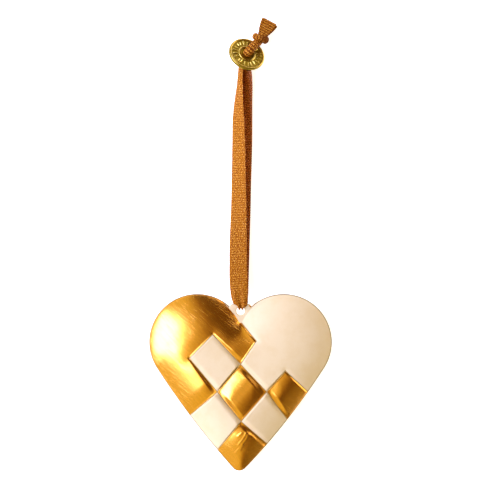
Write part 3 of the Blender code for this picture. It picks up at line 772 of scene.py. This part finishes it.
def ribbon_route():
    """The ribbon's route: (x, y, z, width, twist in degrees), from the disc down the front leg, through the
    lug and up the back leg. Its two ends stop short of the neck, one over the other."""
    end = disc_centre() - disc_axis() * (NECK_BELOW_DISC + 3 * TOUCH_GAP)
    over_end = np.array([0.0, 0.0, (RIBBON_THICKNESS + TOUCH_GAP) / 2])
    wrap = lug_hole_radius()
    hole = notch()[1] + LUG_HOLE_ABOVE_NOTCH + wrap / 2
    over, under = LUG_UNDERSIDE + LUG_THICKNESS + 2 * TOUCH_GAP, LUG_UNDERSIDE - 2 * TOUCH_GAP
    full, narrow = RIBBON_WIDTH, RIBBON_IN_LUG
    return [
        (*(end + over_end), RIBBON_AT_DISC, 20.0),
        (0.0002, 0.1078, 0.0026, 0.0032, 70.0),
        (-0.0001, 0.1053, 0.0027, 0.0046, 77.0),
        (-0.0004, 0.1012, 0.0032, 0.0058, 71.0),
        (-0.0006, 0.0958, 0.0031, full, 62.0),
        (-0.0007, 0.0890, 0.0029, full, 50.0),
        (-0.0006, 0.0788, 0.0027, full, 43.0),
        (-0.0006, 0.0686, 0.0026, full, 38.0),
        (-0.0006, 0.0584, 0.0027, full, 30.0),
        (-0.0008, 0.0482, 0.0033, full, 19.0),
        (-0.0008, 0.0407, 0.0042, full, 13.0),
        (-0.0007, 0.0340, 0.0053, full, 9.0),
        (-0.0003, 0.0290, over + TOUCH_GAP, 0.0056, 4.0),
        (0.0002, hole + wrap, over, 0.0044, 0.0),
        (0.0001, hole + TOUCH_GAP, over - TOUCH_GAP, narrow, 0.0),
        (0.0001, hole, (over + under) / 2, narrow, 0.0),
        (0.0001, hole + TOUCH_GAP, under + TOUCH_GAP, narrow, 0.0),
        (0.0000, hole + wrap, under, 0.0044, 0.0),
        (-0.0002, 0.0290, under - 2 * TOUCH_GAP, 0.0056, 0.0),
        (-0.0003, 0.0340, 0.0026, full, 0.0),
        (-0.0001, 0.0407, 0.0013, full, 0.0),
        (0.0001, 0.0482, 0.0008, full, 0.0),
        (0.0004, 0.0584, 0.0005, full, 0.0),
        (0.0006, 0.0686, 0.0005, full, 0.0),
        (0.0009, 0.0788, 0.0005, full, 0.0),
        (0.0011, 0.0890, 0.0006, 0.0059, -2.0),
        (0.0015, 0.0958, 0.0009, 0.0052, -8.0),
        (0.0019, 0.1012, 0.0013, 0.0049, -20.0),
        (0.0021, 0.1053, 0.0017, 0.0042, -25.0),
        (0.0019, 0.1078, 0.0019, 0.0032, -22.0),
        (*(end - over_end), RIBBON_AT_DISC, -20.0),
    ]


def ribs(read):
    """The height of the ribs along the cloth: a row of round bars, one for each pitch."""
    return np.sqrt(np.abs(np.sin(math.pi * read / RIB_PITCH)))


def closed_ends(rings, first, last):
    """Rings with one point more at each end, in which the tube closes."""
    ends = [np.broadcast_to(point, rings[:1].shape) for point in (first, last)]
    return np.concatenate([ends[0], rings, ends[1]])


def ring_numbers(read, count):
    """How far along each point of such a closed tube is, in mm, from how far its rings are."""
    return np.repeat(np.concatenate([read[:1], read, read[-1:]]), count) / MM


def band_mesh(name, rows, read, across, look, reverse_on_top, fold_most):
    """A ribbed band: its flat section carried along the rows, in folds where it is gathered.

    Rows are (x, y, z, width). A gathered band lies in a wave of two folds, as deep as takes up the width
    that it lacks. The section goes over the band's top and back under it, and closes at both ends."""
    normal = np.cross(across, unit(np.gradient(rows[:, :3], axis=0)))
    v = np.sin(np.linspace(-math.pi / 2, math.pi / 2, ACROSS_STEPS + 1))
    width = rows[:, 3] + TOOTH * np.sin(2 * math.pi * read / RIB_PITCH)
    lack = np.clip(RIBBON_WIDTH / rows[:, 3] - 1, 0, 3)
    fold = np.minimum(rows[:, 3] / (2 * math.pi) * np.sqrt(2 * lack) * 0.6, fold_most)
    wave = fold[:, None] * np.cos(2 * math.pi * v)[None]
    edge_thin = (1 - np.abs(v) ** 6)[None]
    rib = RIB_DEPTH * (ribs(read)[:, None] - 0.5) * edge_thin
    half = RIBBON_THICKNESS / 2 * (0.45 + 0.55 * edge_thin) + rib
    spread = rows[:, None, :3] + across[:, None] * (width[:, None, None] / 2 * v[None, :, None])
    top = spread + normal[:, None] * (wave + half)[..., None]
    bottom = spread + normal[:, None] * (wave - half)[..., None]
    rings = np.concatenate([top, bottom[:, ::-1], top[:, :1]], axis=1)
    rings = closed_ends(rings, rings[0].mean(axis=0), rings[-1].mean(axis=0))
    points, faces = join_grids([rings])
    sideways = np.concatenate([v, v[::-1], v[:1]]) * RIBBON_WIDTH / 2
    on_top = np.concatenate([np.ones(len(v)), np.zeros(len(v)), [1.0]])
    numbers = {
        "along_mm": ring_numbers(read, rings.shape[1]),
        "across_mm": np.tile(sideways, len(rings)) / MM,
        "reverse": np.tile(on_top if reverse_on_top else 1 - on_top, len(rings)),
    }
    return make_piece(name, points, faces, numbers, look)


RIBBON_LIGHT = (0.45, 0.150, 0.003, 1.0)
RIBBON_DARK = (0.14, 0.026, 0.001, 1.0)
RIBBON_PAINTED_HIGHLIGHT = (0.95, 0.50, 0.10, 1.0)
RIBBON_SHADE = (0.07, 0.010, 0.001, 1.0)
REVERSE_LIGHT = (0.64, 0.19, 0.05, 1.0)
REVERSE_DARK = (0.055, 0.006, 0.001, 1.0)
REVERSE_PAINTED_HIGHLIGHT = (1.0, 0.60, 0.40, 1.0)


def ribbon_look(name, groove_shade):
    """Rust-brown ribbed cloth. Stitches over the ribs carry painted highlights, and the grooves between
    carry painted shade. The mesh says where its maroon reverse shows, and where the knot carries painted
    shade."""
    made, shader, nodes = new_look(name)
    along, across = nodes.number("along_mm"), nodes.number("across_mm")
    place = nodes.add("CombineXYZ", inputs={"X": along / 0.32, "Y": across / 0.36, "Z": 0.0})
    stitch = nodes.add("TexNoise", inputs={"Vector": place, "Scale": 1.0, "Detail": 2.0, "Roughness": 0.7})
    wave = nodes.sum_of("SINE", along * (math.pi * MM / RIB_PITCH))
    raised = nodes.sum_of("ABSOLUTE", wave)
    reverse = nodes.number("reverse")
    dark, light = reverse.mix(RIBBON_DARK, REVERSE_DARK), reverse.mix(RIBBON_LIGHT, REVERSE_LIGHT)
    colour = stitch.step(0.42, 0.54).mix(dark, light)
    painted_shade = nodes.number("painted_shade")
    # Painted shade: the grooves between the ribs and the knot's lump on the right are darkened.
    colour = ((1 - raised.step(0.15, 0.75)) * groove_shade).at_least(painted_shade).mix(colour, RIBBON_SHADE)
    # Painted highlight: bright colour on the stitches over the ribs, standing for glints of light.
    painted_highlight = stitch.step(0.54, 0.64) * raised.step(0.2, 0.8) * (1 - painted_shade)
    feed(
        shader,
        Base_Color=(painted_highlight * 0.7).mix(colour, reverse.mix(RIBBON_PAINTED_HIGHLIGHT, REVERSE_PAINTED_HIGHLIGHT)),
        Roughness=0.62 - painted_highlight * 0.2,
        Specular_IOR_Level=0.06,
        Normal=(stitch * 0.06 * MM + raised * 0.04 * MM).bump(),
    )
    return made


def level_across(rows):
    """The way the band's width goes: level and square to its run, turned about the run by the twist."""
    run = unit(np.gradient(rows[:, :3], axis=0))
    level = unit(np.array([1.0, 0.0, 0.0]) - run * run[:, :1])
    twist = np.radians(rows[:, 4, None])
    return np.cos(twist) * level + np.sin(twist) * np.cross(run, level)


ribbon_cloth = ribbon_look("ribbed_ribbon", 0.25)
ribbon_rows, ribbon_read = even_rows(smooth_route(ribbon_route(), 0.0002), RIB_PITCH / RIB_SAMPLES)
loop = band_mesh(
    "ribbon_loop_cloth",
    ribbon_rows,
    ribbon_read,
    level_across(ribbon_rows),
    ribbon_cloth,
    reverse_on_top=True,
    fold_most=LOOP_FOLD,
)
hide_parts("ribbon_loop")

# The disc: a small stamped brass disc with a rolled rim and a dished hole, which slides on the ribbon. A
# ring of raised strokes runs round it, and its hollows are dark with age.
DISC_HOLE = 0.00138
DISC_DISH_WIDTH = 0.0014
DISC_DISH_DEPTH = 0.00012
DISC_RIM_WIDTH = 0.0006
DISC_RIM_HEIGHT = 0.00025
DISC_RIM_SHOULDER = 0.0003
DISC_EDGE_ROUND = 0.0001
RIDGE_HEIGHT = 0.00026
RIDGE_WIDTH = 0.00024
STROKES = 21
STROKE_HEIGHT = 0.00026
STROKE_WIDTH = 0.00036
STROKE_MARGIN = 0.0005
STROKE_END = 0.00004
STROKE_UNEVEN = 0.25
STROKE_LEAN = 0.08
STROKE_SEED = 7
DISC_ROUND_STEPS = 288


def disc_top():
    """Radii and heights of the disc's top from the hole out: the dish, its ridge, the field and the rim."""
    dish_end, shoulder = DISC_HOLE + DISC_DISH_WIDTH, DISC_RADIUS - DISC_RIM_WIDTH - DISC_RIM_SHOULDER
    r = np.concatenate([
        np.linspace(DISC_HOLE, dish_end, 14),
        np.linspace(dish_end, shoulder, 44)[1:],
        np.linspace(shoulder, DISC_RADIUS - DISC_EDGE_ROUND, 14)[1:],
    ])
    dished = np.clip((r - DISC_HOLE) / DISC_DISH_WIDTH, 0, 1)
    z = DISC_THICKNESS / 2 - DISC_RIM_HEIGHT - DISC_DISH_DEPTH * (1 - dished * dished * (3 - 2 * dished))
    z += RIDGE_HEIGHT * np.exp(-(((r - dish_end) / RIDGE_WIDTH) ** 2))
    rolled = np.clip((r - shoulder) / (DISC_RADIUS - shoulder), 0, 1)
    z += DISC_RIM_HEIGHT * np.sin(math.pi * rolled) ** 0.7 * (rolled > 0)
    return r, z


def strokes_on(turn, r):
    """How far up a stroke each point of the disc's top is, from 0 to 1. Strokes are bars from the middle
    outwards, with a bell-shaped section and slightly uneven places and lengths."""
    rng = np.random.default_rng(STROKE_SEED)
    first = DISC_HOLE + DISC_DISH_WIDTH + STROKE_MARGIN
    last = DISC_RADIUS - DISC_RIM_WIDTH - STROKE_MARGIN
    height = np.zeros((len(turn), len(r)))
    for k in range(STROKES):
        at = 2 * math.pi * (k + STROKE_UNEVEN * rng.random()) / STROKES
        low = first + (last - first) * STROKE_UNEVEN * rng.random()
        high = last - (last - first) * STROKE_UNEVEN * rng.random()
        lean = STROKE_LEAN * (rng.random() - 0.5)
        off = (np.angle(np.exp(1j * (turn[:, None] - at))) - lean * (r - low) / (high - low)) * r
        bar = np.exp(-((off / (STROKE_WIDTH / 2)) ** 2))
        length = 1 / (1 + np.exp(-(r - low) / STROKE_END)) / (1 + np.exp((r - high) / STROKE_END))
        height = np.maximum(height, bar * length)
    return height


def disc_grid():
    """The disc as a closed profile turned about its axis: the top with its strokes, the rounded edge and
    the flat underside. With it comes how far each point stands up, from -1 to about 1.5; the rounded edge
    and the underside are set to -1, which paints them dark as painted shade."""
    half = DISC_THICKNESS / 2
    turn = np.linspace(0, 2 * math.pi, DISC_ROUND_STEPS + 1)
    r, z = disc_top()
    strokes = strokes_on(turn, r)
    bend = np.linspace(0, math.pi, 9)[1:-1]
    edge_r = DISC_RADIUS - DISC_EDGE_ROUND * (1 - np.sin(bend))
    edge_z = half * (0.775 * np.cos(bend) - 0.225)
    under_r = np.linspace(DISC_RADIUS - 2 * DISC_EDGE_ROUND, DISC_HOLE, 24)
    all_r = np.concatenate([r, edge_r, under_r, [DISC_HOLE]])
    all_z = np.tile(np.concatenate([z, edge_z, np.full(len(under_r), -half), [z[0]]]), (len(turn), 1))
    all_z[:, :len(r)] += STROKE_HEIGHT * strokes
    # Painted shade: the edge and underside count as deepest, so they are painted dark.
    raised = np.full(all_z.shape, -1.0)
    raised[:, :len(r)] = strokes + np.clip((z - half + DISC_RIM_HEIGHT) / DISC_RIM_HEIGHT, -0.1, 0.55)
    grid = np.stack([all_r * np.cos(turn)[:, None], all_r * np.sin(turn)[:, None], all_z], axis=2)
    return (np.concatenate([part, part[:, :1]], axis=1) for part in (grid, raised))


def leaned(grid):
    """Points about the disc's own axis, turned and moved to where the disc lies."""
    turn = np.array(Vector(disc_axis()).to_track_quat("Z", "Y").to_matrix())
    return grid @ turn.T + disc_centre()


BRASS_LIGHT = (0.90, 0.66, 0.18, 1.0)
BRASS_PATINA_AND_SHADE = (0.24, 0.160, 0.008, 1.0)


def brass_look():
    """Aged brass, rubbed bright where it stands up and dark with patina in its hollows. Its edge and
    underside are painted dark as painted shade.
    """
    made, shader, nodes = new_look("old_brass")
    raised = nodes.number("raised")
    cloud = nodes.grain((1.6 * MM,) * 3, detail=4.0)
    fine = nodes.grain((0.25 * MM,) * 3)
    rubbed = (raised * 0.60 + cloud * 0.6 - 0.12).step(0.08, 0.85)
    feed(
        shader,
        Base_Color=rubbed.mix(BRASS_PATINA_AND_SHADE, BRASS_LIGHT),
        Metallic=1.0,
        Roughness=0.36 - rubbed * 0.20 + fine * 0.06,
        Normal=(cloud * 0.02 * MM + fine * 0.004 * MM).bump(),
    )
    return made


disc_form, disc_rub_and_shade = disc_grid()
disc_points, disc_faces = join_grids([disc_form])
disc_numbers = {"raised": disc_rub_and_shade.ravel()}
disc = make_piece("stamped_disc", leaned(disc_points), disc_faces, disc_numbers, brass_look())
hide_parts("brass_disc")

# The knot: both ends of the ribbon go up through the disc as one gathered neck and are tied in an overhand
# knot, which leaves the two cut ends as short tails. The neck lies folded lengthwise, and keeps its ribs.
NECK_RISE = 0.0036
NECK_FALL = 0.0020
NECK_FALL_DEG = 30.0
KNOT_X = 0.00467
KNOT_Y = 0.00560
KNOT_AIM_DEG = 60.0
KNOT_RADIUS = 0.00165
KNOT_WRAP_RADIUS = 0.00085
KNOT_SLANT_DEG = 10.0
KNOT_LENGTH = 0.0024
TAIL_LENGTH = 0.0058
TAIL_START_WIDTH = 0.0030
TAIL_GATHER = 0.0008
TAIL_PARTING = 0.0012
TAIL_DROP_DEG = 15.0
TAIL_FOLD = 0.00008
TAIL_TUCK = 0.0001
TAIL_BOW = 0.00025
NECK_STEPS = 48
NECK_FOLD = 0.06
NECK_RADIUS = 0.0013
NECK_WIDE = 1.06
NECK_HIGH = 0.92
KNOT_RIBS = 16
KNOT_WIDE = 1.12
KNOT_LONG = 1.25
KNOT_HIGH = 0.98
KNOT_CREASE = 0.10
KNOT_CREASE_WIDTH = 0.2


def level_way(turn_deg):
    """The level direction at this angle from X."""
    turn = math.radians(turn_deg)
    return np.array([math.cos(turn), math.sin(turn), 0.0])


def knot_frame():
    """The knot's middle, resting on the surface, and the level direction in which the tails leave it."""
    middle = disc_centre() + np.array([KNOT_X, KNOT_Y, 0.0])
    middle[2] = KNOT_RADIUS + KNOT_WRAP_RADIUS + FLOOR_GAP
    return middle, level_way(KNOT_AIM_DEG)


def neck_path():
    """The line of the neck: straight through the disc, over in an arch, and level through the knot."""
    middle, out = knot_frame()
    axis, centre = disc_axis(), disc_centre()
    near, far = middle - out * (KNOT_LENGTH / 4), middle + out * (KNOT_LENGTH / 2)
    fall = math.radians(NECK_FALL_DEG)
    before_near = near + (np.array([0.0, 0.0, math.sin(fall)]) - out * math.cos(fall)) * NECK_FALL
    arch = interpolate_bezier(
        Vector(centre), Vector(centre + axis * NECK_RISE), Vector(before_near), Vector(near), 60
    )
    return np.array([centre - axis * NECK_BELOW_DISC, *[tuple(p) for p in arch], far])


def neck_mesh():
    """The neck: a round section of folded cloth with lengthwise creases, ribbed along the line."""
    rows, read = even_rows(neck_path(), RIB_PITCH / RIB_SAMPLES)
    run = unit(np.gradient(rows, axis=0))
    side = unit(np.cross(run, [0.0, 0.0, 1.0]))
    up = np.cross(side, run)
    turn = np.linspace(0, 2 * math.pi, NECK_STEPS + 1)
    folds = NECK_FOLD * (np.cos(4 * turn + 0.6) + 0.5 * np.cos(7 * turn))
    radius = NECK_RADIUS * (1 + folds)[None] + RIB_DEPTH * (ribs(read)[:, None] - 0.5)
    rings = (
        rows[:, None]
        + side[:, None] * (radius * NECK_WIDE * np.cos(turn)[None])[..., None]
        + up[:, None] * (radius * NECK_HIGH * np.sin(turn)[None])[..., None]
    )
    rings = closed_ends(rings, rows[0], rows[-1])
    points, faces = join_grids([rings])
    numbers = {
        "along_mm": ring_numbers(read, len(turn)),
        "across_mm": np.tile(turn * NECK_RADIUS, len(rings)) / MM,
    }
    return make_piece("ribbon_neck", points, faces, numbers, knotted_cloth)


def turn_mesh():
    """The turn of ribbon round the knot: a thick lumpy ring, wider than high, with its ribs across it and a
    crease along the outside. It is thickest on the right, where it goes under, and carries painted shade
    there."""
    middle, aim = knot_frame()[0], KNOT_AIM_DEG + KNOT_SLANT_DEG
    axis, side, up = level_way(aim), level_way(aim - 90), np.array([0.0, 0.0, 1.0])
    around = np.linspace(0, 2 * math.pi, KNOT_RIBS * RIB_SAMPLES + 1)
    bend = np.linspace(0, 2 * math.pi, 33)
    lump = 1 + 0.10 * np.cos(around) + 0.16 * np.cos(2 * around) + 0.05 * np.sin(3 * around)
    rib = RIB_DEPTH * (np.sqrt(np.abs(np.sin(KNOT_RIBS / 2 * around))) - 0.5)
    thick = (KNOT_WRAP_RADIUS * lump + rib)[:, None]
    out = KNOT_WIDE * np.outer(np.cos(around), side) + np.outer(np.sin(around), up)
    crease = 1 - KNOT_CREASE * np.exp(-((np.sin((bend - math.pi / 2) / 2) / KNOT_CREASE_WIDTH) ** 2))
    rings = (
        (middle + out * KNOT_RADIUS)[:, None]
        + out[:, None] * (thick * (KNOT_HIGH * np.cos(bend) * crease)[None])[..., None]
        + axis * (thick * (KNOT_LONG * np.sin(bend))[None])[..., None]
    )
    points, faces = join_grids([rings])
    numbers = {
        "along_mm": np.repeat(around * KNOT_RIBS * RIB_PITCH / (2 * math.pi), len(bend)) / MM,
        "across_mm": np.tile(bend * KNOT_WRAP_RADIUS, len(around)) / MM,
        # Painted shade on the knot's right lump, darkest at its outside.
        "painted_shade": np.repeat(np.clip(0.3 + 1.2 * np.cos(around), 0, 0.65), len(bend)),
    }
    return make_piece("ribbon_knot_turn", points, faces, numbers, knotted_cloth)


def tail_mesh(name, side, turn_deg):
    """One cut end: a ribbed band that spreads from the knot to nearly its full width. Side is 1 or -1."""
    middle, out = knot_frame()
    way, drop = level_way(KNOT_AIM_DEG + turn_deg), math.radians(TAIL_DROP_DEG)
    start = middle + out * (KNOT_LENGTH / 2 - TAIL_TUCK) + [0.0, 0.0, side * TAIL_PARTING / 2]
    run = (way * math.cos(drop) - np.array([0.0, 0.0, math.sin(drop)])) * TAIL_LENGTH
    share = np.linspace(0, 1, round(TAIL_LENGTH / RIB_PITCH * RIB_SAMPLES) + 1)
    spread = RIBBON_WIDTH - TAIL_GATHER - TAIL_START_WIDTH
    width = TAIL_START_WIDTH + spread * np.sin(share * math.pi / 2)
    rows = np.column_stack([start + run * share[:, None], width])
    rows[:, 2] += side * TAIL_BOW / 2 * np.sin(math.pi * share)
    across = np.tile([way[1], -way[0], 0.0], (len(rows), 1))
    return band_mesh(
        name, rows, share * TAIL_LENGTH, across, knotted_cloth, reverse_on_top=False, fold_most=TAIL_FOLD
    )


knotted_cloth = ribbon_look("knotted_ribbon", 0.85)
neck = neck_mesh()
turn_of_ribbon = turn_mesh()
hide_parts("ribbon_knot")
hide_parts("ribbon_knot")
upper_tail = tail_mesh("ribbon_tail_top", 1, 3.0)
lower_tail = tail_mesh("ribbon_tail_below", -1, -4.0)
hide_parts("ribbon_tail_upper")
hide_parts("ribbon_tail_lower")

# The studio: a plain white floor that glows, as a light table does, under a soft sky. A large cool panel
# hangs over the ornament's left in a warm glow. On the right is a warm dim room with a low window.
FLOOR_SIZE = 8.0
FLOOR_WHITE = (0.86, 0.86, 0.86, 1.0)
FLOOR_GLOW = 0.85
PANEL_LIGHT = 6.0
LEFT_GLOW = 0.86
ROOM_GLOW = 0.13
LOW_GLOW = 0.27
WINDOW_GLOW = 3.6
PANEL_TINT = (0.84, 0.96, 1.65, 1.0)
LEFT_TINT = (1.0, 0.84, 0.20, 1.0)
ROOM_TINT = (1.0, 0.50, 0.03, 1.0)
LOW_TINT = (1.0, 0.72, 0.10, 1.0)
WINDOW_TINT = (1.0, 0.85, 0.62, 1.0)
# Each edge is where a light begins and where it is full, as how far east or north for each unit up.
LOWEST_RISE = 0.04
PANEL_RIGHT_EDGE = (-0.58, -0.06)
PANEL_LEFT_EDGE = (-3.4, -2.6)
PANEL_LOWER_EDGE = (-0.52, -0.12)
PANEL_UPPER_EDGE = (0.0, 0.35)
LEFT_GLOW_EDGE = (-0.22, 0.56)
LOW_GLOW_EDGE = (1.3, 2.6)
WINDOW_EDGE = (3.2, 5.0)
WINDOW_LOWER_EDGE = (-1.2, 1.2)

floor_mesh = bpy.data.meshes.new("floor")
half = FLOOR_SIZE / 2
floor_corners = [(-half, -half, 0), (half, -half, 0), (half, half, 0), (-half, half, 0)]
floor_mesh.from_pydata(floor_corners, [], [(0, 1, 2, 3)])
floor = bpy.data.objects.new("floor", floor_mesh)
bpy.context.scene.collection.objects.link(floor)
floor_look, floor_shader = new_look("floor_white")[:2]
feed(
    floor_shader,
    Base_Color=FLOOR_WHITE,
    Roughness=0.9,
    Specular_IOR_Level=0.0,
    Emission_Color=(1.0, 1.0, 1.0, 1.0),
    Emission_Strength=FLOOR_GLOW,
)
floor_mesh.materials.append(floor_look)

world = bpy.data.worlds.new("studio")
bpy.context.scene.world = world
world.use_nodes = True
sky = Shade(world.node_tree)
toward = sky.add("TexCoord", out="Generated")
x, y, z = (sky.add("SeparateXYZ", inputs={0: toward}, out=k) for k in range(3))
east, north = x / z.at_least(LOWEST_RISE), y / z.at_least(LOWEST_RISE)
panel = (
    (1 - east.step(*PANEL_RIGHT_EDGE))
    * east.step(*PANEL_LEFT_EDGE)
    * (north - east * 0.23).step(*PANEL_LOWER_EDGE)
    * (1 - (north + east * 0.84).step(*PANEL_UPPER_EDGE))
)
panel = panel * panel
left = 1 - (east + north * 0.2).step(*LEFT_GLOW_EDGE)
low = (east - north).step(*LOW_GLOW_EDGE)
window = east.step(*WINDOW_EDGE) * (north + east * 0.5).step(*WINDOW_LOWER_EDGE)
dim = ROOM_GLOW + low * (LOW_GLOW - ROOM_GLOW)
glow = dim + left * (LEFT_GLOW - dim) + window * WINDOW_GLOW
tinted = window.mix(low.mix(ROOM_TINT, LOW_TINT), WINDOW_TINT)
tinted = panel.mix(left.mix(tinted, LEFT_TINT), PANEL_TINT)
feed(world.node_tree.nodes["Background"], Color=tinted, Strength=glow + panel * PANEL_LIGHT)
bpy.context.scene.view_settings.view_transform = "Standard"
